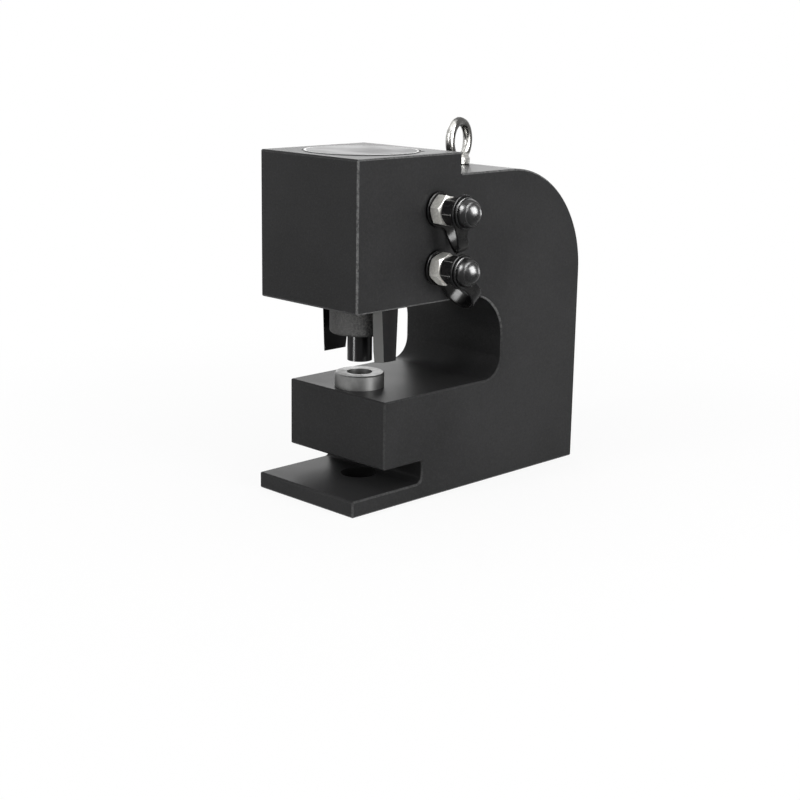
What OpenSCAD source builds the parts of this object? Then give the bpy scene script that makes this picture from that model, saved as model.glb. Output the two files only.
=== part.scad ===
// Busbar punching machine: a C frame with a hydraulic ram, a punch, a die and a stripper.
// The origin is on the punch axis at the base. +X points to the couplers, +Y to the rear, +Z up.

/* [Frame] */
// Width of the frame, left to right
frame_w = 100; // [94:1:130]
// Depth of the cylinder head, front to back, centred on the punch
head_d = 101; // [96:1:120]
// Height of the head above the throat
head_h = 104.5; // [101:0.5:125]
// How far the frame behind the head lies below the head's top
shoulder_drop = 15; // [6:0.5:24]
// Height of the throat
throat_h = 65; // [60:1:80]
// Depth of the throat behind the punch axis
throat_depth = 98; // [80:1:150]
// Thickness of the column behind the throat
column_d = 89; // [80:1:110]
// Height of the jaw that carries the die
jaw_h = 49.5; // [40:0.5:70]
// How far the jaw reaches ahead of the punch axis
jaw_reach = 23; // [22:0.5:40]
// Height of the slot under the jaw, where the slugs come out
slot_h = 16.5; // [12:0.5:24]
// Depth of that slot behind the punch axis
slot_depth = 15.5; // [14:0.5:40]
// Thickness of the foot
foot_h = 12; // [10:0.5:20]
// How far the foot reaches ahead of the punch axis
foot_reach = 53; // [40:1:80]
// Radius of the frame's top rear corner
rear_corner_r = 82; // [40:1:88]
// Radius of the throat's top corner
throat_upper_r = 34; // [10:1:40]
// Radius of the throat's bottom corner
throat_lower_r = 16; // [8:1:20]
// Radius of the slot's bottom corner
slot_lower_r = 5; // [3:0.5:8]
// Radius of the slot's top corner
slot_upper_r = 1.5; // [1.5:0.5:4]
// Width of the bevel on the frame's outer edges
edge_break = 1.2; // [0.5:0.1:1.4]

/* [Cylinder] */
// Bore of the cylinder
bore_d = 75; // [68:1:77]
// Thickness of the head's floor under the cylinder
floor_h = 17; // [17:0.5:20]
// Diameter of the cap's thread
cap_d = 84; // [79:0.5:86]
// Length of the cap's thread
cap_thread_h = 17; // [12:0.5:20]
// Length of the cap's spigot in the bore
cap_spigot_h = 6; // [5:0.5:8]
// Diameter of the screw that locks the cap
lock_screw_d = 5; // [4:0.5:6]
// Length of the screw that locks the cap
lock_screw_l = 8; // [6:0.5:12]
// Thickness of the seal rings
ring_section = 2.4; // [2:0.1:2.8]

/* [Ram] */
// Height of the piston
piston_h = 12; // [11:0.5:14]
// Height of the piston above the cylinder's floor
piston_rise = 21; // [20:0.5:23]
// Height of the piston's seal
piston_seal_h = 4; // [3:0.25:4.5]
// Height of the piston's wear ring
wear_ring_h = 3; // [2:0.25:3.25]
// Diameter of the piston rod
rod_d = 40; // [38:0.5:42]
// Diameter of the rod's spigot through the piston
rod_spigot_d = 24; // [20:1:28]
// Width across flats of the piston's nut
piston_nut_af = 36; // [32:1:41]
// Height of the piston's nut
piston_nut_h = 10; // [8:0.5:12]
// Diameter of the punch nut
nut_d = 44; // [42:0.5:48]
// Height of the punch nut
nut_h = 18; // [16:0.5:20]
// How far the punch nut hangs below the head
nut_drop = 25; // [24.5:0.5:28]
// Thickness of the punch nut's floor
nut_floor = 4.5; // [3:0.5:6]
// Diameter of the thread inside the punch nut
nut_thread_d = 34; // [31:0.5:37]
// Radius of the punch nut's lower edge
nut_edge_r = 2; // [1:0.25:3]
// Diameter of the punch
punch_d = 18; // [10:0.5:22]
// Diameter of the punch's head
punch_head_d = 30; // [26:0.5:30.5]
// Height of the punch's head
punch_head_h = 5; // [4:0.5:6]
// Gap between the punch's tip and the die
tip_gap = 9; // [8.5:0.5:12]

/* [Stripper] */
// Diameter of the stripper, at its thread and round its legs
stripper_d = 63.4; // [62:0.2:68]
// Length of the stripper's thread
stripper_thread_h = 11; // [9:0.5:12]
// Diameter of the stripper's spigot at the cylinder's floor
stripper_spigot_d = 55; // [54:0.5:58]
// Gap between the nut and each leg
leg_clearance = 4; // [2:0.25:4.5]
// Width of a leg at the head
leg_root_w = 33; // [28:0.5:34]
// Width of a leg at its tip
leg_tip_w = 20.5; // [16:0.5:26]
// Distance of the flats on the legs' corners from the punch axis, at the head
leg_flat_root = 27.5; // [27:0.25:30]
// Distance of those flats from the punch axis, at the legs' tips
leg_flat_tip = 26.25; // [26:0.25:30]
// Height of the legs' tips above the die
strip_gap = 12.5; // [10:0.5:18]
// Wall of the rod's guide bush
bush_wall = 3; // [2:0.25:3.5]
// Length of the rod's guide bush
bush_h = 8; // [6:0.5:8]
// Width of the rod's seal, from rod to groove
rod_seal_w = 4; // [3:0.25:4.5]
// Height of the rod's seal
rod_seal_h = 4; // [3:0.25:4]
// Width of the rod's wiper
wiper_w = 3.5; // [2.5:0.25:4]
// Height of the rod's wiper
wiper_h = 2.5; // [2:0.25:2.75]

/* [Die] */
// Diameter of the die
die_d = 36; // [34:0.5:40]
// Height of the die above the jaw
die_stand = 10.5; // [6:0.5:14]
// Depth of the die's seat in the jaw
die_seat = 12; // [10:0.5:16]
// Gap all round between punch and die
die_gap = 0.3; // [0.2:0.05:0.6]
// Depth of the die's cutting land
die_land = 8; // [5:0.5:12]
// How much wider the die is below its land, all round
die_relief = 1.2; // [0.5:0.1:1.5]
// Diameter of the slug passage through the jaw
slug_d = 24; // [22:0.5:27]
// Diameter of the slug hole through the foot
foot_hole_d = 26; // [24:0.5:30]
// Diameter of the die's set screw
set_screw_d = 8; // [5:0.5:9]
// Length of the die's set screw
set_screw_l = 14; // [10:0.5:24]

/* [Eyebolt] */
// Distance of the eyebolt behind the head
eye_back = 49.5; // [25:0.5:52]
// Diameter of the eyebolt's thread
eye_thread_d = 8; // [6:0.5:10]
// Length of the eyebolt's thread
eye_thread_l = 13; // [10:0.5:18]
// Diameter of the eyebolt's collar
eye_collar_d = 17; // [15:0.5:24]
// Height of the eyebolt's collar
eye_collar_h = 6; // [5:0.5:7]
// Diameter of the eye
eye_hole_d = 21; // [16:0.5:24]
// Thickness of the eye's bar
eye_bar_d = 7; // [6.5:0.25:10]
// How far the eye is turned on its thread, in degrees
eye_turn = 15.5; // [-45:0.5:45]

/* [Couplers] */
// Distance of the couplers behind the punch axis
coupler_y = 26.5; // [15:0.5:29]
// Distance of the upper coupler below the head's top
coupler_drop = 38.5; // [37:0.5:40]
// Distance between the two couplers
coupler_gap = 41; // [39:0.5:42]
// Diameter of the oil passages
passage_d = 6; // [4:0.5:6.5]
// Diameter of the adapters' thread in the frame
port_thread_d = 13; // [11:0.5:14]
// Length of the adapters' thread in the frame
port_thread_l = 13; // [10:0.5:15]
// Diameter of the adapters' collar at the wall
collar_d = 18; // [17:0.25:18.5]
// Length of the adapters' collar
collar_l = 2.5; // [2.5:0.25:4]
// Width across flats of the adapters
adapter_af = 20; // [19.5:0.5:22]
// Length of the adapters' hexagon
adapter_l = 9; // [8:0.5:12]
// Diameter of the nipples' thread in the adapters
nipple_thread_d = 12; // [11:0.25:13]
// Width across flats of the nipples
nipple_af = 18; // [16:0.5:20]
// Length of the nipples' hexagon
nipple_l = 11; // [10.5:0.5:14]
// Diameter of the nipples' nose
nose_d = 14; // [13:0.25:14.5]
// Length of the nipples' nose
nose_l = 10.5; // [10:0.25:13]
// Bore inside the nipples
valve_bore_d = 8.4; // [8:0.1:9]
// Mouth of the nipples
valve_mouth_d = 5.6; // [5:0.1:6]
// Wire of the valve springs
spring_wire = 0.7; // [0.5:0.05:0.9]
// Coils of the valve springs
spring_coils = 6; // [4:1:7]

/* [Dust caps] */
// Outer diameter of the caps' dome
dome_d = 20.5; // [19.5:0.25:21]
// Diameter of the caps' shoulder
shoulder_d = 22; // [21:0.2:23]
// How far the dome stands out past the nipple's nose
dome_reach = 5.3; // [5:0.1:8]
// Outer diameter of the straps' ring at the wall
strap_base_d = 25.4; // [24:0.2:28]
// Outer diameter of the straps' ring on the cap
strap_cap_d = 25; // [23:0.2:28]
// Thickness of the straps
strap_t = 2; // [1.5:0.1:2]
// Radius of the fillets where the straps leave their rings
strap_fillet_r = 14; // [8:0.5:16]
// Width of the straps at their middle
strap_neck_w = 11; // [7:0.5:12]

/* [Hidden] */
$fn = 96;
// Gap round pieces that are screwed, pressed or seated together
seat_gap = 0.05;
// Gap all round between sliding pieces
running_gap = 0.05;
// Gap between loose pieces
loose_gap = 0.3;
// Overlap of cuts past the faces that they open
cut = 1;
// Least wall between a groove and the edge beside it
groove_wall = 1;
// Bevel on turned edges
turned_edge = 0.8;
// How much higher a seal ring's groove is than its ring
groove_slack = 0.4;
// How far the end faces of hexagons lie inside their flats
hexagon_inset = 0.3;
// Slope of the bevel on hexagons, in degrees
hexagon_slope = 30;

// Heights of the frame's levels
slot_top = foot_h + slot_h;
jaw_top = slot_top + jaw_h;
throat_top = jaw_top + throat_h;
head_top = throat_top + head_h;
shoulder_z = head_top - shoulder_drop;
rear_y = throat_depth + column_d;
head_y = head_d / 2;
wall_x = frame_w / 2;

// Heights inside the cylinder
chamber_z = throat_top + floor_h;
cap_seat_z = head_top - cap_thread_h;
cap_bottom_z = cap_seat_z - cap_spigot_h;
piston_z = chamber_z + piston_rise;
piston_top = piston_z + piston_h;
spigot_out = 2;
spigot_top = piston_top + piston_nut_h + spigot_out;
cap_groove_h = ring_section + groove_slack;
cap_groove_z = cap_bottom_z + (cap_spigot_h - cap_groove_h) / 2;
cap_ring_r = bore_d / 2 - ring_section / 2 - seat_gap;
seal_groove_z = piston_z + groove_wall;
wear_groove_z = piston_top - groove_wall - wear_ring_h;

// Heights of the tools
nut_z = throat_top - nut_drop;
nut_top = nut_z + nut_h;
punch_head_z = nut_z + nut_floor;
rod_end_z = punch_head_z + punch_head_h;
rod_shoulder_z = nut_top + loose_gap;
die_top = jaw_top + die_stand;
die_z = jaw_top - die_seat;
tip_z = die_top + tip_gap;
leg_z = die_top + strip_gap;
leg_gap = nut_d + 2 * leg_clearance;
set_screw_z = jaw_top - die_seat / 2;

// Radii of the piston's and the rod's seals
piston_r = bore_d / 2 - running_gap;
piston_groove_depth = 3.5;
piston_groove_r = piston_r - piston_groove_depth;
rod_r = rod_d / 2;
rod_way_r = rod_r + loose_gap;
rod_seal_z = throat_top + wiper_h + groove_wall;
bush_z = chamber_z - bush_h;
stripper_groove_h = ring_section + groove_slack;
stripper_groove_z = throat_top + stripper_thread_h + groove_wall;
stripper_ring_r = stripper_spigot_d / 2 - ring_section / 2 - seat_gap;

// The cap's lock screw lies on the joint between cap and head, to the rear right
lock_angle = 45;
lock_screw_z = head_top - lock_screw_l - loose_gap;

// The eyebolt
eye_y = head_y + eye_back;
eye_ring_r = (eye_hole_d + eye_bar_d) / 2;
eye_centre_h = eye_ring_r + eye_bar_d / 2;
eye_collar_step = 2;
eye_foot_d = eye_collar_d - 2 * eye_collar_step;
eye_hole_spare = 2;

// The couplers, upper first
coupler_z = [head_top - coupler_drop, head_top - coupler_drop - coupler_gap];
adapter_turn = [17.5, 50];
nipple_turn = [37, 44.5];
adapter_end = collar_l + adapter_l;
nipple_end = adapter_end + nipple_l;
nose_end = nipple_end + nose_l;
adapter_floor = 1.5;
nipple_stub_l = adapter_l - adapter_floor;
nipple_back = adapter_end - nipple_stub_l;
port_seal_section = 1.9;
port_seal_r = (port_thread_d + port_seal_section) / 2 + seat_gap;
port_seat_d = port_thread_d + 2 * port_seal_section + 4 * seat_gap;
port_seat_l = port_seal_section + 2 * seat_gap;
ball_groove = 0.8;
nose_edge = 1.2;

// The valve in each nipple
valve_travel = 4;
stop_l = 1.5;
stop_inset = 0.5;
stop_z = adapter_end + stop_inset;
seat_l = 1.5;
mouth_l = 2.5;
seat_z = nose_end - mouth_l - seat_l;
poppet_r = valve_bore_d / 2 - loose_gap;
poppet_pin_r = valve_mouth_d / 2 - loose_gap;
poppet_tail_r = 1.6;
poppet_head_l = 2.5;
poppet_z = seat_z - poppet_head_l;
poppet_tail_gap = 1;
poppet_tail_z = stop_z + stop_l + valve_travel + poppet_tail_gap;
spring_r = (poppet_r + poppet_tail_r) / 2;
spring_z0 = stop_z + stop_l + spring_wire / 2;
spring_z1 = poppet_z - spring_wire / 2;
spring_pitch = (spring_z1 - spring_z0) / spring_coils;
spring_rings = 8;
spring_sides = 6;
echo(least_gap_between_spring_coils = spring_pitch - spring_wire);

// The dust caps
dust_cap_z = nipple_end + loose_gap;
lip_l = 0.6;
lip_step = 1;
dust_cap_wall = 2;
dust_cap_edge = 0.5;
strap_seat_l = strap_t + 2 * seat_gap;
strap_seat_d = nose_d + 2 * dust_cap_wall;
shoulder_l = 2.2;
neck_l = 0.8;
neck_depth = 0.8;
neck_d = dome_d - 2 * neck_depth;
shoulder_start = dust_cap_z + lip_l + strap_seat_l;
dome_start = shoulder_start + shoulder_l + neck_l;
dome_end = nose_end + dome_reach;
// The dome is a barrel that rounds inwards, a small step and a crown
crown_h = 4.8;
crown_step = 0.6;
barrel_fall = 2;
barrel_l = dome_end - crown_h - dome_start;
barrel_r = (pow(barrel_l, 2) + pow(barrel_fall, 2)) / (2 * barrel_fall);
crown_edge_r = dome_d / 2 - barrel_fall - crown_step;
crown_r = (pow(crown_edge_r, 2) + pow(crown_h, 2)) / (2 * crown_h);
dome_arc_steps = 12;
cap_bore_d = nose_d + 2 * loose_gap;
cap_bore_end = nose_end + loose_gap;

// The straps, upper first: they leave the rings turned from straight down towards the rear,
// or towards the front where the angle is below zero
strap_base_z = collar_l / 2;
strap_cap_z = dust_cap_z + lip_l + strap_seat_l / 2;
strap_base_turn = [46, 38];
strap_cap_turn = [-9, 40];
strap_leg = [17.5, 21];
strap_root = 10.5;
strap_leg_steps = 6;
strap_bend_steps = 16;
strap_steps = 2 * strap_leg_steps + strap_bend_steps;
strap_edge = 0.4;
strap_probe = 0.1;

// Shapes that several pieces share

// A ring of rectangular section, standing on z
module ring(z, h, outer_r, inner_r) {
  translate([0, 0, z])
    difference() {
      cylinder(r = outer_r, h = h);
      translate([0, 0, -cut]) cylinder(r = inner_r, h = h + 2 * cut);
    }
}

// A round seal ring with its middle at height z
module o_ring(z, centre_r, section) {
  translate([0, 0, z])
    rotate_extrude()
      translate([centre_r, 0]) circle(d = section);
}

// A cylinder whose two ends are bevelled
module turned(d, h, bevel) {
  rotate_extrude()
    polygon([[0, 0], [d / 2 - bevel, 0], [d / 2, bevel],
             [d / 2, h - bevel], [d / 2 - bevel, h], [0, h]]);
}

// A hexagon prism with its corners turned off at both ends
module turned_hexagon(af, h) {
  corner_r = af / sqrt(3);
  face_r = af / 2 - hexagon_inset;
  bevel = (corner_r - face_r) * tan(hexagon_slope);
  intersection() {
    cylinder(r = corner_r, h = h, $fn = 6);
    rotate_extrude()
      polygon([[0, 0], [face_r, 0], [corner_r, bevel],
               [corner_r, h - bevel], [face_r, h], [0, h]]);
  }
}

// A screw without a head, standing on its tip, with a hexagon socket in its top
module grub_screw(d, h) {
  difference() {
    turned(d, h, d / 8);
    translate([0, 0, h - d / 2]) cylinder(d = d / 2 / cos(30), h = d, $fn = 6);
  }
}

// Joins rings of points, each with as many sides, into one closed solid
module skin(rings) {
  sides = len(rings[0]);
  last = len(rings) - 1;
  points = [for (r = rings) for (p = r) p];
  walls = [
    for (i = [0:last - 1]) for (j = [0:sides - 1])
      let (a = i * sides + j, b = i * sides + (j + 1) % sides)
      for (face = [[a, a + sides, b], [b, a + sides, b + sides]]) face
  ];
  first_end = [for (j = [1:sides - 2]) [0, j, j + 1]];
  last_end = [for (j = [1:sides - 2]) [last * sides, last * sides + j + 1, last * sides + j]];
  polyhedron(points = points, faces = concat(walls, first_end, last_end));
}

// Frame

// Straight edges of the side outline: two ends, each with how far the bevel runs past it
function side_edges() = [
  [[-foot_reach, 0], [rear_y, 0], cut, cut],
  [[-foot_reach, 0], [-foot_reach, foot_h], cut, cut],
  [[-foot_reach, foot_h], [slot_depth - slot_lower_r, foot_h], cut, 0],
  [[slot_depth, foot_h + slot_lower_r], [slot_depth, slot_top - slot_upper_r], 0, 0],
  [[-jaw_reach, slot_top], [slot_depth - slot_upper_r, slot_top], cut, 0],
  [[-jaw_reach, slot_top], [-jaw_reach, jaw_top], cut, cut],
  [[-jaw_reach, jaw_top], [throat_depth - throat_lower_r, jaw_top], cut, 0],
  [[throat_depth, jaw_top + throat_lower_r], [throat_depth, throat_top - throat_upper_r], 0, 0],
  [[-head_y, throat_top], [throat_depth - throat_upper_r, throat_top], cut, 0],
  [[-head_y, throat_top], [-head_y, head_top], cut, cut],
  [[-head_y, head_top], [head_y, head_top], cut, cut],
  [[head_y, shoulder_z], [head_y, head_top], 0, cut],
  [[head_y, shoulder_z], [rear_y - rear_corner_r, shoulder_z], 0, 0],
  [[rear_y, 0], [rear_y, shoulder_z - rear_corner_r], cut, 0]
];

// Round stretches of the side outline: centre, radius, start angle
function side_arcs() = [
  [[slot_depth - slot_lower_r, foot_h + slot_lower_r], slot_lower_r, 270],
  [[slot_depth - slot_upper_r, slot_top - slot_upper_r], slot_upper_r, 0],
  [[throat_depth - throat_lower_r, jaw_top + throat_lower_r], throat_lower_r, 270],
  [[throat_depth - throat_upper_r, throat_top - throat_upper_r], throat_upper_r, 0],
  [[rear_y - rear_corner_r, shoulder_z - rear_corner_r], rear_corner_r, 0]
];

// Outer corners of the side outline, which are bevelled
function side_corners() = [
  [-foot_reach, 0], [-foot_reach, foot_h], [-jaw_reach, slot_top], [-jaw_reach, jaw_top],
  [-head_y, throat_top], [-head_y, head_top], [head_y, head_top], [rear_y, 0]
];

// What is left in a corner outside a quarter circle, with more waste past its sides
module quarter_waste(r, spare = 0) {
  difference() {
    square(r + spare);
    circle(r);
  }
}

// Side outline of the frame, front to the left
module frame_outline() {
  front = -foot_reach - cut;
  difference() {
    translate([-foot_reach, 0]) square([foot_reach + rear_y, head_top]);
    translate([front, throat_top - cut]) square([-head_y - front, head_h + 2 * cut]);
    translate([head_y, shoulder_z]) square([rear_y, shoulder_drop + cut]);
    translate([front, foot_h]) square([slot_depth - front, slot_h]);
    translate([front, slot_top - cut]) square([-jaw_reach - front, jaw_h + 2 * cut]);
    translate([front, jaw_top]) square([throat_depth - front, throat_h]);
    translate(side_arcs()[4][0]) quarter_waste(rear_corner_r);
    for (corner = side_corners())
      translate(corner) rotate(45) square(edge_break * sqrt(2), center = true);
  }
  for (arc = [for (i = [0:3]) side_arcs()[i]])
    translate(arc[0]) rotate(arc[2]) quarter_waste(arc[1]);
}

// Section of a bevel cut, a square on its corner
module bevel_section() {
  rotate(45) square(edge_break * sqrt(2), center = true);
}

// Bevels along both side faces of the frame
module side_bevels() {
  for (side = [-wall_x, wall_x]) {
    for (edge = side_edges()) {
      run = edge[1] - edge[0];
      translate([side, edge[0][0], edge[0][1]])
        rotate([atan2(run[1], run[0]), 0, 0])
          translate([0, norm(run) + edge[3], 0])
            rotate([90, 0, 0])
              linear_extrude(norm(run) + edge[2] + edge[3]) bevel_section();
    }
    for (arc = side_arcs())
      translate([side, arc[0][0], arc[0][1]])
        rotate([90, 0, 90])
          rotate([0, 0, arc[2]])
            rotate_extrude(angle = 90)
              translate([arc[1], 0]) bevel_section();
  }
}

// Stepped bore through the head: cap thread, cylinder, stripper spigot and stripper thread
module head_bore() {
  translate([0, 0, cap_seat_z]) cylinder(d = cap_d + 2 * seat_gap, h = cap_thread_h + cut);
  translate([0, 0, chamber_z]) cylinder(d = bore_d, h = cap_seat_z - chamber_z + cut);
  translate([0, 0, throat_top]) cylinder(d = stripper_spigot_d + 2 * seat_gap, h = floor_h + cut);
  translate([0, 0, throat_top - cut])
    cylinder(d = stripper_d + 2 * seat_gap, h = stripper_thread_h + cut);
}

// Die seat, slug passage and slug hole on the punch axis, with the set screw's hole from the left
module tool_bore() {
  translate([0, 0, die_z]) cylinder(d = die_d + 2 * seat_gap, h = die_seat + cut);
  translate([0, 0, slot_top - cut]) cylinder(d = slug_d, h = jaw_h);
  translate([0, 0, -cut]) cylinder(d = foot_hole_d, h = foot_h + 2 * cut);
  translate([0, 0, set_screw_z])
    rotate([0, -90, 0]) cylinder(d = set_screw_d + 2 * seat_gap, h = wall_x + cut);
}

// Threaded port, seal seat and oil passage of one coupler
module port() {
  translate([0, 0, -port_seat_l]) cylinder(d = port_seat_d, h = port_seat_l + cut);
  translate([0, 0, -port_thread_l - cut])
    cylinder(d = port_thread_d + 2 * seat_gap, h = port_thread_l + 2 * cut);
  translate([0, 0, -wall_x]) cylinder(d = passage_d, h = wall_x);
}

// Hole on the joint between cap and head for the lock screw
module lock_screw_hole() {
  rotate([0, 0, lock_angle])
    translate([cap_d / 2, 0, lock_screw_z - seat_gap])
      cylinder(d = lock_screw_d + 2 * seat_gap, h = lock_screw_l + cut);
}

module frame() {
  color("#2c2c2e")
    difference() {
      rotate([90, 0, 90])
        linear_extrude(frame_w, center = true) frame_outline();
      side_bevels();
      head_bore();
      tool_bore();
      lock_screw_hole();
      for (i = [0, 1]) at_coupler(i) port();
      translate([0, eye_y, shoulder_z - eye_thread_l - eye_hole_spare])
        cylinder(d = eye_thread_d + 2 * seat_gap, h = eye_thread_l + eye_hole_spare + cut);
    }
}

// Cylinder cap

module cylinder_cap() {
  color("#333336")
    difference() {
      union() {
        translate([0, 0, cap_bottom_z]) cylinder(r = piston_r, h = cap_spigot_h + cut);
        translate([0, 0, cap_seat_z]) turned(cap_d, cap_thread_h, turned_edge);
      }
      ring(cap_groove_z, cap_groove_h, bore_d, bore_d / 2 - ring_section - seat_gap);
      lock_screw_hole();
    }
}

module cap_o_ring() {
  color("#161616")
    o_ring(cap_groove_z + cap_groove_h / 2, cap_ring_r, ring_section - 2 * seat_gap);
}

module cap_lock_screw() {
  color("#1c1c1e")
    rotate([0, 0, lock_angle])
      translate([cap_d / 2, 0, lock_screw_z]) grub_screw(lock_screw_d, lock_screw_l);
}

// Ram

module piston() {
  color("#8d9094")
    difference() {
      translate([0, 0, piston_z]) turned(2 * piston_r, piston_h, turned_edge);
      ring(seal_groove_z, piston_seal_h, bore_d, piston_groove_r);
      ring(wear_groove_z, wear_ring_h, bore_d, piston_groove_r);
      translate([0, 0, piston_z - cut])
        cylinder(d = rod_spigot_d + 2 * seat_gap, h = piston_h + 2 * cut);
    }
}

module piston_seal() {
  color("#3a4a6a")
    ring(seal_groove_z + seat_gap, piston_seal_h - 2 * seat_gap, piston_r, piston_groove_r + seat_gap);
}

module piston_wear_ring() {
  color("#7a5a3a")
    ring(wear_groove_z + seat_gap, wear_ring_h - 2 * seat_gap, piston_r, piston_groove_r + seat_gap);
}

module piston_rod() {
  color("#c8cacc") {
    translate([0, 0, rod_end_z])
      turned(nut_thread_d - 2 * seat_gap, rod_shoulder_z - rod_end_z + cut, turned_edge);
    translate([0, 0, rod_shoulder_z]) cylinder(r = rod_r, h = piston_z - rod_shoulder_z);
    translate([0, 0, piston_z - cut]) cylinder(d = rod_spigot_d, h = spigot_top - piston_z + cut);
  }
}

module piston_nut() {
  color("#9a9da0")
    difference() {
      translate([0, 0, piston_top]) turned_hexagon(piston_nut_af, piston_nut_h);
      translate([0, 0, piston_top - cut])
        cylinder(d = rod_spigot_d + 2 * seat_gap, h = piston_nut_h + 2 * cut);
    }
}

module punch() {
  color("#3c3c40") {
    translate([0, 0, punch_head_z])
      turned(punch_head_d, punch_head_h, turned_edge);
    translate([0, 0, tip_z]) cylinder(d = punch_d, h = punch_head_z - tip_z + cut);
  }
}

// Outline of the punch nut, from its axis outwards, with a round lower edge
module punch_nut_outline() {
  nut_r = nut_d / 2;
  difference() {
    square([nut_r, nut_h]);
    translate([nut_r - nut_edge_r, nut_edge_r]) rotate(270) quarter_waste(nut_edge_r, cut);
    translate([nut_r, nut_h]) rotate(45) square(turned_edge * sqrt(2), center = true);
  }
}

module punch_nut() {
  color("#4a4a4c")
    difference() {
      translate([0, 0, nut_z])
        rotate_extrude() punch_nut_outline();
      translate([0, 0, nut_z - cut]) cylinder(d = punch_d + 2 * seat_gap, h = nut_h);
      translate([0, 0, punch_head_z]) cylinder(d = nut_thread_d, h = nut_h);
    }
}

// Stripper and rod seals

// Side outline of the two tapered legs
module leg_outline() {
  polygon([[-leg_tip_w / 2, leg_z], [leg_tip_w / 2, leg_z],
           [leg_root_w / 2, throat_top + cut], [-leg_root_w / 2, throat_top + cut]]);
}

module stripper_legs() {
  intersection() {
    translate([0, 0, leg_z]) cylinder(d = stripper_d, h = throat_top - leg_z + cut);
    rotate([90, 0, 90])
      linear_extrude(stripper_d + 2 * cut, center = true) leg_outline();
    translate([0, 0, leg_z])
      cylinder(r1 = leg_flat_tip * sqrt(2), r2 = leg_flat_root * sqrt(2), h = throat_top - leg_z + cut,
               $fn = 4);
  }
}

module stripper() {
  spigot_h = floor_h - stripper_thread_h;
  color("#2a2a2d")
    difference() {
      union() {
        translate([0, 0, throat_top]) cylinder(d = stripper_d, h = stripper_thread_h);
        translate([0, 0, throat_top]) cylinder(d = stripper_spigot_d, h = stripper_thread_h + spigot_h);
        stripper_legs();
      }
      translate([-leg_gap / 2, -stripper_d / 2, leg_z - cut])
        cube([leg_gap, stripper_d, throat_top - leg_z + cut]);
      translate([0, 0, throat_top - cut]) cylinder(r = rod_way_r, h = floor_h + 2 * cut);
      translate([0, 0, throat_top - cut]) cylinder(r = rod_r + wiper_w + seat_gap, h = wiper_h + cut);
      ring(rod_seal_z, rod_seal_h, rod_r + rod_seal_w + seat_gap, rod_r);
      translate([0, 0, bush_z]) cylinder(r = rod_r + bush_wall + seat_gap, h = bush_h + cut);
      ring(stripper_groove_z, stripper_groove_h, stripper_d,
           stripper_spigot_d / 2 - ring_section - seat_gap);
    }
}

module stripper_o_ring() {
  color("#161616")
    o_ring(stripper_groove_z + stripper_groove_h / 2, stripper_ring_r, ring_section - 2 * seat_gap);
}

module rod_bush() {
  color("#b08d4f")
    ring(bush_z, bush_h, rod_r + bush_wall, rod_r + running_gap);
}

module rod_seal() {
  color("#3a4a6a")
    ring(rod_seal_z + seat_gap, rod_seal_h - 2 * seat_gap, rod_r + rod_seal_w, rod_r + running_gap);
}

module rod_wiper() {
  color("#1a1a1a")
    ring(throat_top, wiper_h - seat_gap, rod_r + wiper_w, rod_r + running_gap);
}

// Die

module die() {
  hole_r = punch_d / 2 + die_gap;
  h = die_stand + die_seat;
  r = die_d / 2;
  color("#8b8e91")
    translate([0, 0, die_z])
      rotate_extrude()
        polygon([[hole_r + die_relief, 0], [r - turned_edge, 0], [r, turned_edge],
                 [r, h - turned_edge], [r - turned_edge, h], [hole_r, h],
                 [hole_r, h - die_land], [hole_r + die_relief, h - die_land]]);
}

module die_set_screw() {
  color("#1c1c1e")
    translate([-die_d / 2 - seat_gap, 0, set_screw_z])
      rotate([0, -90, 0]) grub_screw(set_screw_d, set_screw_l);
}

// Eyebolt

module eyebolt() {
  color("#c4c6c8")
    translate([0, eye_y, shoulder_z])
      rotate([0, 0, eye_turn]) {
        translate([0, 0, -eye_thread_l]) cylinder(d = eye_thread_d, h = eye_thread_l + cut);
        turned(eye_collar_d, eye_collar_h, turned_edge);
        translate([0, 0, eye_collar_h - cut / 2])
          cylinder(d1 = eye_foot_d, d2 = eye_bar_d, h = eye_bar_d - eye_collar_h + cut / 2);
        translate([0, 0, eye_centre_h])
          rotate([0, 90, 0])
            rotate_extrude()
              translate([eye_ring_r, 0]) circle(d = eye_bar_d);
      }
}

// Couplers: each piece is drawn along its own axis, from the wall outwards, and then placed

module at_coupler(i) {
  translate([wall_x, coupler_y, coupler_z[i]])
    rotate([0, 90, 0]) children();
}

module adapter(i) {
  color("#c9c6ba")
    at_coupler(i)
      difference() {
        union() {
          translate([0, 0, -port_thread_l]) cylinder(d = port_thread_d, h = port_thread_l + cut);
          cylinder(d = collar_d, h = collar_l + cut);
          translate([0, 0, collar_l])
            rotate([0, 0, adapter_turn[i]]) turned_hexagon(adapter_af, adapter_l);
        }
        translate([0, 0, -port_thread_l - cut])
          cylinder(d = passage_d, h = port_thread_l + nipple_back + 2 * cut);
        translate([0, 0, nipple_back - seat_gap])
          cylinder(d = nipple_thread_d + 2 * seat_gap, h = nipple_stub_l + cut);
      }
}

module port_seal(i) {
  color("#161616")
    at_coupler(i)
      o_ring(-port_seat_l / 2, port_seal_r, port_seal_section - 2 * seat_gap);
}

// Outline of the hose coupler's nose, from its axis outwards, with the groove for the locking balls
module nose_outline() {
  r = nose_d / 2;
  groove_start = nipple_end + nose_l / 3;
  groove_end = nipple_end + nose_l * 2 / 3;
  polygon([[0, nipple_end - cut], [r, nipple_end - cut], [r, groove_start],
           [r - ball_groove, groove_start + ball_groove],
           [r - ball_groove, groove_end - ball_groove], [r, groove_end],
           [r, nose_end - nose_edge], [r - nose_edge, nose_end], [0, nose_end]]);
}

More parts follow.
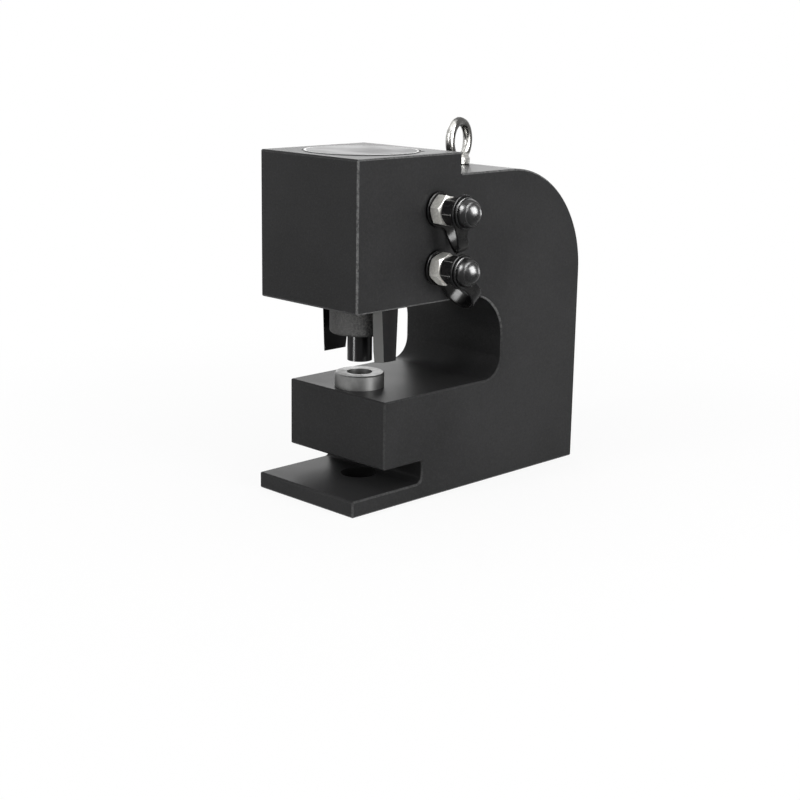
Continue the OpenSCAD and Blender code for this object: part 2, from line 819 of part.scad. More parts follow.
module nipple(i) {
  color("#26262a")
    at_coupler(i)
      difference() {
        union() {
          translate([0, 0, nipple_back]) cylinder(d = nipple_thread_d, h = nipple_stub_l + cut);
          translate([0, 0, adapter_end])
            rotate([0, 0, nipple_turn[i]]) turned_hexagon(nipple_af, nipple_l);
          rotate_extrude() nose_outline();
        }
        translate([0, 0, nipple_back - cut])
          cylinder(d = valve_bore_d, h = seat_z - nipple_back + cut);
        translate([0, 0, seat_z]) cylinder(d1 = valve_bore_d, d2 = valve_mouth_d, h = seat_l);
        translate([0, 0, seat_z]) cylinder(d = valve_mouth_d, h = nose_end - seat_z + cut);
      }
}

module spring_stop(i) {
  color("#9a9da0")
    at_coupler(i)
      ring(stop_z, stop_l, valve_bore_d / 2 - seat_gap, poppet_tail_r + loose_gap);
}

// One ring of points round the spring's wire
function spring_ring(step) =
  let (turn = step * 360 / spring_rings, z = spring_z0 + spring_pitch * step / spring_rings)
  [for (j = [0:spring_sides - 1])
    let (a = -j * 360 / spring_sides, r = spring_r + spring_wire / 2 * cos(a))
    [r * cos(turn), r * sin(turn), z + spring_wire / 2 * sin(a)]];

module valve_spring(i) {
  color("#b4b6b8")
    at_coupler(i)
      skin([for (step = [0:spring_coils * spring_rings]) spring_ring(step)]);
}

module poppet(i) {
  seat_step = seat_z - loose_gap;
  color("#a7a9ab")
    at_coupler(i)
      rotate_extrude()
        polygon([[0, poppet_tail_z], [poppet_tail_r, poppet_tail_z], [poppet_tail_r, poppet_z],
                 [poppet_r, poppet_z], [poppet_r, seat_step], [poppet_pin_r, seat_step + seat_l],
                 [poppet_pin_r, nose_end - loose_gap], [0, nose_end - loose_gap]]);
}

// Points of an arc about a centre, from one angle to another
function arc_points(centre, r, from, to) =
  [for (k = [0:dome_arc_steps])
    let (a = from + (to - from) * k / dome_arc_steps)
    [centre[0] + r * cos(a), centre[1] + r * sin(a)]];

module dome_outline() {
  barrel_centre = [dome_d / 2 - barrel_r, dome_start];
  barrel = arc_points(barrel_centre, barrel_r, asin(dust_cap_edge / barrel_r), asin(barrel_l / barrel_r));
  crown = arc_points([0, dome_end - crown_r], crown_r, asin((crown_r - crown_h) / crown_r), 90);
  polygon(concat([[0, dome_start], [dome_d / 2 - dust_cap_edge, dome_start]], barrel, crown));
}

module dust_cap(i) {
  color("#232326")
    at_coupler(i)
      difference() {
        union() {
          translate([0, 0, dust_cap_z]) cylinder(d = strap_seat_d + 2 * lip_step, h = lip_l);
          translate([0, 0, dust_cap_z]) cylinder(d = strap_seat_d, h = lip_l + strap_seat_l + cut);
          translate([0, 0, shoulder_start]) turned(shoulder_d, shoulder_l, dust_cap_edge);
          translate([0, 0, shoulder_start]) cylinder(d = neck_d, h = shoulder_l + neck_l + cut);
          rotate_extrude() dome_outline();
        }
        translate([0, 0, dust_cap_z - cut])
          cylinder(d = cap_bore_d, h = cap_bore_end - nose_edge - dust_cap_z + cut);
        translate([0, 0, cap_bore_end - nose_edge])
          cylinder(d1 = cap_bore_d, d2 = cap_bore_d - 2 * nose_edge, h = nose_edge);
      }
}

// Place on the strap's middle line: distance from the axis and height above the wall
function strap_place(i, step) =
  let (
    bend_r = (strap_cap_z - strap_base_z) / 2,
    mid_z = (strap_cap_z + strap_base_z) / 2,
    reach = strap_leg[i] - strap_root,
    along = step - strap_leg_steps,
    bend = 180 * along / strap_bend_steps,
    back = step - strap_leg_steps - strap_bend_steps
  )
  along < 0 ? [strap_root + reach * step / strap_leg_steps, strap_base_z]
  : back > 0 ? [strap_leg[i] - reach * back / strap_leg_steps, strap_cap_z]
  : [strap_leg[i] + bend_r * sin(bend), mid_z - bend_r * cos(bend)];

// How far the strap is turned round the coupler's axis at a step
function strap_turn(i, step) =
  let (t = step / strap_steps, ease = t * t * (3 - 2 * t))
  strap_base_turn[i] + (strap_cap_turn[i] - strap_base_turn[i]) * ease;

function strap_point(i, step) =
  let (place = strap_place(i, step), turn = strap_turn(i, step))
  [place[0] * cos(turn), place[0] * sin(turn), place[1]];

// Half the strap's width: it narrows in a fillet from its rings to its neck
function strap_half_w(i, step) =
  let (
    ring_r = 2 * step < strap_steps ? strap_base_d / 2 : strap_cap_d / 2,
    fillet_w = strap_neck_w / 2 + strap_fillet_r,
    fillet_x = sqrt(pow(ring_r + strap_fillet_r, 2) - pow(fillet_w, 2)),
    short = max(0, min(strap_fillet_r, fillet_x - strap_place(i, step)[0]))
  )
  fillet_w - sqrt(pow(strap_fillet_r, 2) - pow(short, 2));

// One ring of points round the strap's section
function strap_ring(i, step) =
  let (
    turn = strap_turn(i, step),
    across = [-sin(turn), cos(turn), 0],
    run = strap_point(i, step + strap_probe) - strap_point(i, step - strap_probe),
    normal = cross(run, across),
    up = normal / norm(normal) * (strap_t / 2 - seat_gap),
    w = strap_half_w(i, step),
    in_w = w - strap_edge,
    in_t = 1 - strap_edge / strap_t * 2,
    corners = [[w, in_t], [in_w, 1], [-in_w, 1], [-w, in_t],
               [-w, -in_t], [-in_w, -1], [in_w, -1], [w, -in_t]]
  )
  [for (c = corners) strap_point(i, step) + across * c[0] + up * c[1]];

module dust_strap(i) {
  color("#1d1d1f")
    at_coupler(i) {
      ring(strap_base_z - strap_t / 2, strap_t, strap_base_d / 2, collar_d / 2 + loose_gap);
      ring(strap_cap_z - strap_t / 2, strap_t, strap_cap_d / 2, strap_seat_d / 2 + loose_gap);
      skin([for (step = [0:strap_steps]) strap_ring(i, step)]);
    }
}

module upper_adapter() adapter(0);
module upper_port_seal() port_seal(0);
module upper_nipple() nipple(0);
module upper_spring_stop() spring_stop(0);
module upper_valve_spring() valve_spring(0);
module upper_poppet() poppet(0);
module upper_dust_cap() dust_cap(0);
module upper_dust_strap() dust_strap(0);
module lower_adapter() adapter(1);
module lower_port_seal() port_seal(1);
module lower_nipple() nipple(1);
module lower_spring_stop() spring_stop(1);
module lower_valve_spring() valve_spring(1);
module lower_poppet() poppet(1);
module lower_dust_cap() dust_cap(1);
module lower_dust_strap() dust_strap(1);

frame();
cylinder_cap();
cap_o_ring();
cap_lock_screw();
piston();
piston_seal();
piston_wear_ring();
piston_rod();
piston_nut();
punch();
punch_nut();
stripper();
stripper_o_ring();
rod_bush();
rod_seal();
rod_wiper();
die();
die_set_screw();
eyebolt();
upper_adapter();
upper_port_seal();
upper_nipple();
upper_spring_stop();
upper_valve_spring();
upper_poppet();
upper_dust_cap();
upper_dust_strap();
lower_adapter();
lower_port_seal();
lower_nipple();
lower_spring_stop();
lower_valve_spring();
lower_poppet();
lower_dust_cap();
lower_dust_strap();
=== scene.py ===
# Busbar punching machine: finishes, soft pieces, floor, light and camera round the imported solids.
import math

import bmesh
import bpy
from mathutils import Matrix, Vector


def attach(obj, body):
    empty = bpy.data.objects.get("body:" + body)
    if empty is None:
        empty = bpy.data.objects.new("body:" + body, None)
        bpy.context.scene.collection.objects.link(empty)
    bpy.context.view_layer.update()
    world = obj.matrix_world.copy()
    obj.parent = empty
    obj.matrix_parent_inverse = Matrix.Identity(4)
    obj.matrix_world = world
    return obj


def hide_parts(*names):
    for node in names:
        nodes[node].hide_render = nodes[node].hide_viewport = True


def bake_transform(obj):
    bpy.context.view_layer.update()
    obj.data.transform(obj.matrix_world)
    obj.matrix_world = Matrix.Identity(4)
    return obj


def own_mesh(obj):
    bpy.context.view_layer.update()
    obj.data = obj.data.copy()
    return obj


MM = 0.001
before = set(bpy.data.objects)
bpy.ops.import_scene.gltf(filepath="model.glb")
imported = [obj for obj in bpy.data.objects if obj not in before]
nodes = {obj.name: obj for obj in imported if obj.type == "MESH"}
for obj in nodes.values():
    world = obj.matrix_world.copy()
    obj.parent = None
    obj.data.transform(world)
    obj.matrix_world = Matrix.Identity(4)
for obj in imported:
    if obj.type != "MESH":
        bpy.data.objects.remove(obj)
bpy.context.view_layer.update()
scene = bpy.context.scene


# Camera
CAMERA_AT = Vector((791.8, -752.8, 341.6)) * MM
CAMERA_FORWARD = Vector((-0.6845, 0.6872, -0.2434))
CAMERA_UP = Vector((-0.1834, 0.1615, 0.9697))
CAMERA_LENS = 69.45
CAMERA_SENSOR = 36.0
CAMERA_NEAR = 0.01
CAMERA_FAR = 20.0


def add_camera():
    forward = CAMERA_FORWARD.normalized()
    right = forward.cross(CAMERA_UP).normalized()
    up = right.cross(forward)
    data = bpy.data.cameras.new("camera")
    data.sensor_fit = "HORIZONTAL"
    data.sensor_width = CAMERA_SENSOR
    data.lens = CAMERA_LENS
    data.clip_start = CAMERA_NEAR
    data.clip_end = CAMERA_FAR
    camera = bpy.data.objects.new("camera", data)
    turn = Matrix((right, up, -forward)).transposed().to_4x4()
    camera.matrix_world = Matrix.Translation(CAMERA_AT) @ turn
    scene.collection.objects.link(camera)
    scene.camera = camera


add_camera()
scene.view_settings.view_transform = "Standard"


# Sizes and places, in millimetres and degrees, in the frame of the solids
WALL_X = 50.0
HEAD_TOP = 247.5
COUPLER_Y = 26.5
COUPLER_Z = {"upper": 209.0, "lower": 168.0}

# Paint: heights between which the pale edges, part rubbed paint and part painted highlight, fade above the
# foot and grow toward the head, how near to the walls the front edges' pale line ends, and the hole for
# slugs, whose wall is darkened with painted shade up to SLUG_TOP
WEAR_AND_HIGHLIGHT_FOOT = (14.0, 30.0)
WEAR_AND_HIGHLIGHT_HEAD = (100.0, 140.0)
WEAR_AND_HIGHLIGHT_INSET = (2.5, 1.5)
SLUG_R = 13.0
SLUG_SOFT = 0.4
SLUG_TOP = (100.0, 110.0)

# Lifting eye: its turn, and the heights between which its collar passes into the ring
EYE_TURN = 15.5
EYE_RING_Z = (239.0, 241.0)

# Round plate, its bright line in a shallow groove, and its notch round the cap's lock screw
PLATE_R = 41.2
PLATE_H = 0.4
PLATE_EDGE = 0.3
PLATE_EDGE_CUT = 0.09
PLATE_LINE_R = 39.8
PLATE_LINE_HALF = 0.4
PLATE_LINE_SOFT = 0.1
PLATE_GROOVE = 0.06
PLATE_STEPS = 720
PLATE_SHARP = 15.0
LOCK_R = 42.0
LOCK_TURN = 45.0
LOCK_NOTCH = 3.1

# Straps: for each ring its place out of the wall, inner radius, outer radius and half thickness;
# for each strap its turn at the two rings and the length of its legs.
STRAP_RINGS = {"base": (1.25, 9.3, 12.7, 1.1), "cap": (24.45, 9.3, 12.5, 1.0)}
STRAP_RING_EDGE = 0.7
STRAP_RING_STEPS = 72
STRAP_TURN = {"upper": (46.0, -9.0), "lower": (38.0, 40.0)}
STRAP_LEG = {"upper": 17.5, "lower": 21.0}
STRAP_NECK = 5.5
STRAP_FILLET = 14.0
STRAP_HALF_T = 0.85
STRAP_EDGE = 0.6
STRAP_LEG_STEPS = 14
STRAP_BEND_STEPS = 40
STRAP_VOXEL = 0.35
STRAP_SMOOTHING = 8

# Valve springs, along a coupler's axis out of the wall
SPRING_FROM = 13.85
SPRING_TO = 26.15
SPRING_R = 2.75
SPRING_WIRE_R = 0.35
SPRING_COILS = 6
SPRING_CLOSING = 0.55
SPRING_COIL_STEPS = 40
SPRING_SIDES = 10

# Lines that turned pieces are round: a point in metres, and the axis that the line runs along
AXIS_X = 0
AXIS_Z = 2
PUNCH_AXIS = ((0.0, 0.0, 0.0), AXIS_Z)
UPPER_AXIS = ((0.0, COUPLER_Y * MM, COUPLER_Z["upper"] * MM), AXIS_X)


# Materials
BEVEL_SAMPLES = 6
QUARTER_TURN = 0.25
ALONG_X = (1.0, 0.0, 0.0)
ALONG_Y = (0.0, 1.0, 0.0)

# The slots of a Mix node that mixes colours
MIX_FACTOR = 0
MIX_A = 6
MIX_B = 7
MIX_RESULT = 2


class Shader:
    """A material with a Principled shader and short ways to add nodes to it."""

    def __init__(self, name, color, metallic=0.0, roughness=0.5, specular=0.5):
        self.material = bpy.data.materials.new(name)
        self.material.use_nodes = True
        self.tree = self.material.node_tree
        self.bsdf = self.tree.nodes["Principled BSDF"]
        self.set("Base Color", (*color, 1.0))
        self.set("Metallic", metallic)
        self.set("Roughness", roughness)
        self.set("Specular IOR Level", specular)
        self.coords = self.node("ShaderNodeTexCoord").outputs["Object"]

    def set(self, socket, value):
        self.bsdf.inputs[socket].default_value = value

    def node(self, kind, **values):
        made = self.tree.nodes.new(kind)
        for key, value in values.items():
            setattr(made, key, value)
        return made

    def link(self, out, into):
        self.tree.links.new(out, into)

    def feed(self, socket, out):
        self.link(out, self.bsdf.inputs[socket])

    def math(self, kind, a, b=None):
        made = self.node("ShaderNodeMath", operation=kind)
        for slot, value in zip(made.inputs, (a, b)):
            if value is None:
                continue
            if isinstance(value, (int, float)):
                slot.default_value = value
            else:
                self.link(value, slot)
        return made.outputs[0]

    def mapped(self, scale=(1, 1, 1), shift=(0, 0, 0)):
        made = self.node("ShaderNodeMapping")
        made.inputs["Location"].default_value = shift
        made.inputs["Scale"].default_value = scale
        self.link(self.coords, made.inputs["Vector"])
        return made.outputs[0]

    def noise(self, scale, detail=2.0, roughness=0.5, vector=None):
        made = self.node("ShaderNodeTexNoise")
        made.inputs["Scale"].default_value = scale
        made.inputs["Detail"].default_value = detail
        made.inputs["Roughness"].default_value = roughness
        self.link(vector or self.coords, made.inputs["Vector"])
        return made.outputs["Fac"]

    def lines(self, along, scale, detail):
        """Fine lines that follow one another along a number, such as the distance from an axis."""
        made = self.node("ShaderNodeTexNoise", noise_dimensions="1D")
        made.inputs["Scale"].default_value = scale
        made.inputs["Detail"].default_value = detail
        self.link(along, made.inputs["W"])
        return made.outputs["Fac"]

    def remap(self, value, low, high, to_low=0.0, to_high=1.0):
        """A smooth step: to_low where the value is low, to_high where it is high."""
        made = self.node("ShaderNodeMapRange", interpolation_type="SMOOTHSTEP")
        self.link(value, made.inputs["Value"])
        ends = {"From Min": low, "From Max": high, "To Min": to_low, "To Max": to_high}
        for key, number in ends.items():
            made.inputs[key].default_value = number
        return made.outputs["Result"]

    def remap_mm(self, value, ends, to_low=0.0, to_high=1.0):
        """The same, for a distance whose two ends are in millimetres."""
        low, high = ends
        return self.remap(value, low * MM, high * MM, to_low, to_high)

    def mix(self, fac, a, b):
        made = self.node("ShaderNodeMix", data_type="RGBA")
        for index, value in ((MIX_FACTOR, fac), (MIX_A, a), (MIX_B, b)):
            slot = made.inputs[index]
            if isinstance(value, (int, float)):
                slot.default_value = value
            elif isinstance(value, tuple):
                slot.default_value = (*value, 1.0)
            else:
                self.link(value, slot)
        return made.outputs[MIX_RESULT]

    def bump(self, height, strength, distance, normal=None):
        made = self.node("ShaderNodeBump")
        made.inputs["Strength"].default_value = strength
        made.inputs["Distance"].default_value = distance
        self.link(height, made.inputs["Height"])
        if normal is not None:
            self.link(normal, made.inputs["Normal"])
        return made.outputs["Normal"]

    def normal(self):
        return self.node("ShaderNodeNewGeometry").outputs["Normal"]

    def rounded(self, radius):
        """Normals that turn softly over sharp edges."""
        made = self.node("ShaderNodeBevel", samples=BEVEL_SAMPLES)
        made.inputs["Radius"].default_value = radius
        return made.outputs["Normal"]

    def edges(self, radius, low=0.02, high=0.16):
        """Where the surface turns within a short distance: near 1 along edges, 0 on open faces."""
        dot = self.node("ShaderNodeVectorMath", operation="DOT_PRODUCT")
        self.link(self.rounded(radius), dot.inputs[0])
        self.link(self.normal(), dot.inputs[1])
        turned = self.math("SUBTRACT", 1.0, dot.outputs["Value"])
        return self.remap(turned, low, high)

    def facing(self, direction):
        """How squarely the surface faces along a direction, from 0 to 1."""
        dot = self.node("ShaderNodeVectorMath", operation="DOT_PRODUCT")
        self.link(self.normal(), dot.inputs[0])
        dot.inputs[1].default_value = direction
        return self.math("ABSOLUTE", dot.outputs["Value"])

    def side_bevels(self):
        """1 on faces that slope between a side wall and the outline, 0 on walls and outline."""
        away = self.math("ABSOLUTE", self.math("SUBTRACT", self.facing(ALONG_X), math.sqrt(0.5)))
        return self.remap(away, 0.1, 0.2, 1.0, 0.0)

    def place(self):
        """The shaded point's X, Y and Z."""
        parts = self.node("ShaderNodeSeparateXYZ")
        self.link(self.coords, parts.inputs[0])
        return parts.outputs["X"], parts.outputs["Y"], parts.outputs["Z"]

    def brushed_round(self, axis, amount):
        """Stretches highlights along an axis, as fine turning marks round it do."""
        tangent = self.node("ShaderNodeTangent", direction_type="RADIAL", axis=axis)
        self.feed("Tangent", tangent.outputs[0])
        self.set("Anisotropic", amount)
        self.set("Anisotropic Rotation", QUARTER_TURN)

    def radius_from(self, centre, axis):
        """Distance of the shaded point from a line through centre along an axis."""
        parts = self.node("ShaderNodeSeparateXYZ")
        self.link(self.mapped(shift=tuple(-c for c in centre)), parts.inputs[0])
        squares = [self.math("POWER", parts.outputs[i], 2.0) for i in range(3) if i != axis]
        return self.math("SQRT", self.math("ADD", squares[0], squares[1]))


def black_paint():
    """Satin black with a fine grain; its edges pale, part rubbed paint and part painted highlight; painted
    shade in the hole for slugs.
    """
    dark = (0.007, 0.007, 0.0072)
    light = (0.04, 0.04, 0.0408)
    # bare is the pale edge colour: part bare metal, part painted highlight
    bare = (0.11, 0.11, 0.11)
    # hole is painted shade for the slug hole's wall
    hole = (0.003, 0.003, 0.003)
    m = Shader("black_paint", (0.02, 0.02, 0.0204), roughness=0.4, specular=0.07)
    cloud = m.noise(9.0, detail=3.0)
    grain = m.noise(2600.0)
    peel = m.noise(420.0)
    mottle = m.noise(750.0, detail=4.0, roughness=0.7)
    base = m.mix(m.remap(cloud, 0.3, 0.7), (0.017, 0.017, 0.0174), (0.0235, 0.0235, 0.024))
    base = m.mix(m.remap(grain, 0.58, 0.8, 0.0, 0.5), base, light)
    base = m.mix(m.remap(mottle, 0.35, 0.5, 0.22, 0.0), base, dark)
    base = m.mix(m.remap(mottle, 0.5, 0.68, 0.0, 0.26), base, light)
    across, _, height = m.place()
    front = m.remap(m.facing(ALONG_Y), 0.9, 0.97)
    inside = m.remap_mm(m.math("ABSOLUTE", across), [WALL_X - inset for inset in WEAR_AND_HIGHLIGHT_INSET], 1.0, 0.0)
    front_edges = m.math("MULTIPLY", m.math("MULTIPLY", m.edges(0.0012, 0.02, 0.1), front), inside)
    breakup = m.remap(m.noise(450.0, detail=4.0, roughness=0.75), 0.35, 0.6, 0.25, 1.0)
    # Pale side bevels and front edges: part rubbed paint, part painted highlight
    wear_and_highlight = m.math("MULTIPLY", m.math("MAXIMUM", m.side_bevels(), front_edges), breakup)
    # The pale edges, painted highlight in part, are dimmer on the jaw between the foot and the head
    on_head = m.remap_mm(height, WEAR_AND_HIGHLIGHT_HEAD, 0.15, 1.0)
    on_foot = m.remap_mm(height, WEAR_AND_HIGHLIGHT_FOOT, 0.4, 0.0)
    wear_and_highlight = m.math("MULTIPLY", wear_and_highlight, m.math("MAXIMUM", on_head, on_foot))
    base = m.mix(wear_and_highlight, base, bare)
    # Painted shade: the slug hole's wall is near black and matt up to SLUG_TOP
    slug_hole_shade = m.remap_mm(m.radius_from(*PUNCH_AXIS), (SLUG_R, SLUG_R + SLUG_SOFT), 1.0, 0.0)
    slug_hole_shade = m.math("MULTIPLY", slug_hole_shade, m.remap_mm(height, SLUG_TOP, 1.0, 0.0))
    m.feed("Base Color", m.mix(slug_hole_shade, base, hole))
    satin = m.remap(cloud, 0.25, 0.75, 0.36, 0.46)
    m.feed("Roughness", m.math("MAXIMUM", satin, m.math("MULTIPLY", slug_hole_shade, 0.9)))
    fine = m.bump(grain, 0.22, 0.00006)
    m.feed("Normal", m.bump(peel, 0.12, 0.00012, fine))
    return m.material


def turned_black(name, spin, color, roughness, specular, wear=0.0005, edge=0.16, milled=None, brushed=0.0):
    """Blackened steel turned round an axis: fine lines, pale edges (part rubbed, part painted highlight)
    and perhaps milled faces painted paler (part bare milling, part painted highlight).
    """
    m = Shader(name, color, roughness=roughness, specular=specular)
    lines = m.lines(m.radius_from(*spin), 3200.0, 2.0)
    mottle = m.noise(240.0, detail=4.0, roughness=0.6)
    brown = tuple(c * f for c, f in zip(color, (1.25, 1.15, 1.08)))
    base = m.mix(m.remap(mottle, 0.4, 0.7), color, brown)
    breakup = m.remap(m.noise(420.0, detail=3.0), 0.3, 0.5, 0.5, 1.0)
    # Pale edges: part rubbed oxide, part painted highlight
    wear_and_highlight = m.math("MULTIPLY", m.edges(wear, 0.015, 0.08), breakup)
    base = m.mix(wear_and_highlight, base, (edge, edge, edge * 0.97))
    # Milled faces painted paler: part bare milling, part painted highlight
    if milled:
        base = m.mix(m.math("MULTIPLY", m.side_bevels(), 0.9), base, milled)
    m.feed("Base Color", base)
    m.feed("Roughness", m.remap(mottle, 0.3, 0.7, roughness - 0.03, roughness + 0.04))
    if brushed:
        m.brushed_round("XYZ"[spin[1]], brushed)
    fine = m.bump(lines, 0.12, 0.00005, m.rounded(wear))
    m.feed("Normal", m.bump(m.noise(1500.0), 0.1, 0.00005, fine))
    return m.material


def phosphate():
    """Rough grey phosphate coat, like fine sand."""
    m = Shader("phosphate", (0.06, 0.06, 0.06), roughness=0.75, specular=0.2)
    sand = m.noise(800.0, detail=4.0, roughness=0.7)
    patch = m.noise(130.0, detail=3.0)
    base = m.mix(m.remap(sand, 0.4, 0.62), (0.006, 0.006, 0.006), (0.048, 0.0472, 0.0455))
    base = m.mix(m.remap(patch, 0.4, 0.75, 0.0, 0.35), base, (0.022, 0.0216, 0.021))
    # Pale edges: part rubbed coat, part painted highlight
    wear_and_highlight = m.math("MULTIPLY", m.edges(0.0006), m.remap(m.noise(300.0, detail=4.0), 0.45, 0.6))
    m.feed("Base Color", m.mix(wear_and_highlight, base, (0.2, 0.2, 0.2)))
    m.feed("Roughness", m.remap(sand, 0.3, 0.7, 0.62, 0.86))
    m.feed("Normal", m.bump(sand, 0.55, 0.00022))
    return m.material


def machined(name, spin, color, roughness, line_scale=2400.0, depth=0.00006):
    """Bare turned or ground steel: fine rings round an axis, faint stains, bright edges."""
    m = Shader(name, color, metallic=1.0, roughness=roughness)
    lines = m.lines(m.radius_from(*spin), line_scale, 3.0)
    stain = m.noise(90.0, detail=4.0, roughness=0.6)
    dull = tuple(c * 0.78 for c in color)
    base = m.mix(m.remap(stain, 0.42, 0.75), color, dull)
    shine = tuple(min(1.0, c * 1.3) for c in color)
    m.feed("Base Color", m.mix(m.edges(0.0004), base, shine))
    m.feed("Roughness", m.remap(stain, 0.3, 0.7, roughness - 0.06, roughness + 0.1))
    m.feed("Normal", m.bump(lines, 0.2, depth))
    return m.material


def zinc():
    """Bright zinc plate with a slightly warm, milled look."""
    m = Shader("zinc", (0.66, 0.65, 0.61), metallic=0.14, roughness=0.42, specular=0.3)
    spangle = m.noise(520.0, detail=4.0, roughness=0.7)
    milled = m.noise(1.0, detail=2.0, vector=m.mapped(scale=(2600.0, 260.0, 260.0)))
    base = m.mix(m.remap(spangle, 0.35, 0.7), (0.52, 0.51, 0.477), (0.72, 0.71, 0.67))
    # Edges painted near white: painted highlight
    m.feed("Base Color", m.mix(m.edges(0.0004), base, (0.9, 0.89, 0.86)))
    m.feed("Roughness", m.remap(spangle, 0.3, 0.7, 0.32, 0.48))
    fine = m.bump(milled, 0.1, 0.00006)
    m.feed("Normal", m.bump(spangle, 0.12, 0.00012, fine))
    return m.material


def forged_zinc():
    """Forged eye, plated: uneven, with darker hollows, polished high spots and a painted dark reflection
    along the ring's rim.
    """
    m = Shader("forged_zinc", (0.6, 0.595, 0.57), metallic=1.0, roughness=0.3)
    lumps = m.noise(170.0, detail=3.0, roughness=0.55)
    pits = m.noise(950.0, detail=3.0, roughness=0.6)
    base = m.mix(m.remap(lumps, 0.3, 0.72), (0.2, 0.197, 0.185), (0.56, 0.555, 0.535))
    base = m.mix(m.remap(pits, 0.6, 0.75, 0.0, 0.6), base, (0.2, 0.195, 0.18))
    turn = math.radians(EYE_TURN)
    sideways = m.facing((-math.sin(turn), math.cos(turn), 0.0))
    _, _, height = m.place()
    ring = m.remap_mm(height, EYE_RING_Z)
    # A painted dark reflection along the ring's rim, where the surface turns side-on to the ring's plane
    painted_dark_reflection = m.math("MULTIPLY", m.remap(sideways, 0.3, 0.62, 0.9, 0.0), ring)
    m.feed("Base Color", m.mix(painted_dark_reflection, base, (0.035, 0.034, 0.032)))
    m.feed("Roughness", m.remap(lumps, 0.3, 0.7, 0.36, 0.2))
    soft = m.bump(lumps, 0.4, 0.0006)
    m.feed("Normal", m.bump(pits, 0.25, 0.0001, soft))
    return m.material


def rubber():
    """Black rubber with a faint bloom and a fine skin."""
    roughness = 0.26
    m = Shader("rubber", (0.006, 0.006, 0.006), roughness=roughness, specular=0.09)
    bloom = m.noise(120.0, detail=4.0, roughness=0.6)
    skin = m.noise(1800.0)
    base = m.mix(m.remap(bloom, 0.4, 0.75), (0.0035, 0.0035, 0.0038), (0.009, 0.0085, 0.008))
    m.feed("Base Color", base)
    m.feed("Roughness", m.remap(bloom, 0.3, 0.75, roughness - 0.04, roughness + 0.08))
    m.feed("Normal", m.bump(skin, 0.1, 0.00005))
    return m.material


def black_plastic():
    """Smooth moulded plastic with a little dust."""
    m = Shader("black_plastic", (0.006, 0.006, 0.0062), roughness=0.28, specular=0.17)
    flow = m.noise(60.0, detail=3.0)
    dust = m.noise(900.0, detail=4.0, roughness=0.7)
    base = m.mix(m.remap(dust, 0.6, 0.8, 0.0, 0.6), (0.005, 0.005, 0.0052), (0.016, 0.016, 0.016))
    m.feed("Base Color", base)
    m.feed("Roughness", m.remap(flow, 0.3, 0.7, 0.24, 0.31))
    m.feed("Normal", m.bump(dust, 0.05, 0.00005, m.rounded(0.0004)))
    return m.material


def plain_plastic(name, color, spread, roughness):
    """Seal and bearing plastics inside the cylinder: cloudy colour and a dull, fine grain."""
    m = Shader(name, color, roughness=roughness, specular=0.4)
    cloud = m.noise(140.0, detail=4.0)
    light = tuple(min(1.0, c * spread) for c in color)
    m.feed("Base Color", m.mix(m.remap(cloud, 0.35, 0.7), color, light))
    m.feed("Normal", m.bump(m.noise(1600.0), 0.12, 0.00006))
    return m.material


def plate_finish():
    """Round bare plate: dark satin metal, brushed in rings, with a fine bright line near its rim."""
    m = Shader("plate", (0.02, 0.02, 0.0213), roughness=0.38, specular=0.08)
    away = m.radius_from(*PUNCH_AXIS)
    lines = m.lines(away, 2800.0, 3.0)
    base = m.mix(m.remap(lines, 0.35, 0.7), (0.017, 0.017, 0.018), (0.032, 0.032, 0.0335))
    near = m.math("ABSOLUTE", m.math("SUBTRACT", away, PLATE_LINE_R * MM))
    line = m.remap_mm(near, (PLATE_LINE_HALF - PLATE_LINE_SOFT, PLATE_LINE_HALF), 1.0, 0.0)
    m.feed("Base Color", m.mix(line, base, (0.55, 0.55, 0.54)))
    m.feed("Metallic", line)
    m.feed("Roughness", m.remap(m.noise(35.0, detail=4.0), 0.3, 0.7, 0.34, 0.44))
    m.feed("Normal", m.bump(lines, 0.04, 0.00002))
    return m.material


# Pieces made here
def at_coupler(which, p):
    """From a coupler's own axes (down, rear, outward) to the part's, in metres."""
    return Vector((WALL_X + p[2], COUPLER_Y + p[1], COUPLER_Z[which] - p[0])) * MM


def new_piece(name, verts, faces, material):
    mesh = bpy.data.meshes.new(name)
    mesh.from_pydata([tuple(v) for v in verts], [], faces)
    mesh.validate()
    piece = bpy.data.objects.new(name, mesh)
    scene.collection.objects.link(piece)
    bm = bmesh.new()
    bm.from_mesh(mesh)
    bmesh.ops.recalc_face_normals(bm, faces=bm.faces)
    bm.to_mesh(mesh)
    bm.free()
    for polygon in mesh.polygons:
        polygon.use_smooth = True
    mesh.materials.append(material)
    return piece


def grid_faces(rows, columns, start, closed_rows):
    """Quads between rows of points, each row a closed loop."""
    faces = []
    for i in range(rows if closed_rows else rows - 1):
        for j in range(columns):
            a = start + i * columns
            b = start + (i + 1) % rows * columns
            k = (j + 1) % columns
            faces.append((a + j, a + k, b + k, b + j))
    return faces


def rounded_box(half_w, half_h, radius, corner_steps=5):
    """Corner-rounded outline of a band's section, as (across, through) pairs."""
    points = []
    for sx, sy, start in ((1, 1, 0), (-1, 1, 90), (-1, -1, 180), (1, -1, 270)):
        for k in range(corner_steps):
            a = math.radians(start + 90 * k / (corner_steps - 1))
            points.append((sx * (half_w - radius) + radius * math.cos(a),
                           sy * (half_h - radius) + radius * math.sin(a)))
    return points


def fillet_centre(ring_r):
    """How far out from a ring's centre the fillets between ring and neck have their centres."""
    return math.sqrt((ring_r + STRAP_FILLET) ** 2 - (STRAP_NECK + STRAP_FILLET) ** 2)


def strap_width(away, ring_r):
    """Half the strap's width at a distance from the ring's centre: a fillet from ring to neck."""
    centre = fillet_centre(ring_r)
    if away >= centre:
        return STRAP_NECK
    return STRAP_NECK + STRAP_FILLET - math.sqrt(STRAP_FILLET ** 2 - (centre - away) ** 2)


